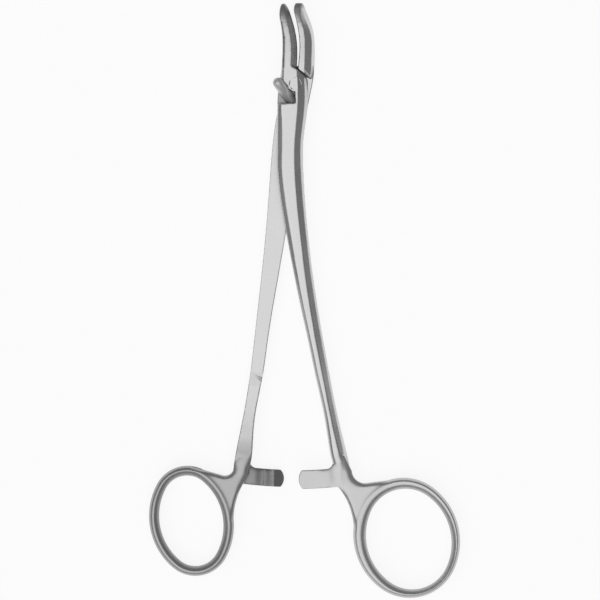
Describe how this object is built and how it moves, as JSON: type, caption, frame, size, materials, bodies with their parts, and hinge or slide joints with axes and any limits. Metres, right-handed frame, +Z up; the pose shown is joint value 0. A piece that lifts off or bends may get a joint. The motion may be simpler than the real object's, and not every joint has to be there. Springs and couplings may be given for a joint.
{
  "type": "scalpel blade remover",
  "caption": "Ring-handled forceps with slender grooveless jaws, a riveted lap joint and a ratchet catch, for gripping and taking off scalpel blades.",
  "frame": {"origin": "middle of the instrument's outline, on the surface that it lies on, with its jaws 3 degrees open", "axes": "+Y runs from the finger rings to the jaw tips, +X to the right seen from above, +Z up out of the surface, along the pivot"},
  "size_m": [0.0775, 0.1483, 0.008],
  "materials": {
    "satin_steel": "satin-ground stainless steel",
    "pin_steel": "smooth stainless steel"
  },
  "bodies": {
    "rear_half": {"rear_arm": "satin_steel", "pivot_rivet": "pin_steel"},
    "front_half": {"front_arm": "satin_steel", "stop_stud": "pin_steel"}
  },
  "joints": [
    {"name": "pivot", "type": "hinge", "parent": "rear_half", "child": "front_half", "pos_m": [-0.00228, 0.05393, 0.0028], "axis": [0, 0, 1], "range_deg": [-2.9, 25]}
  ]
}
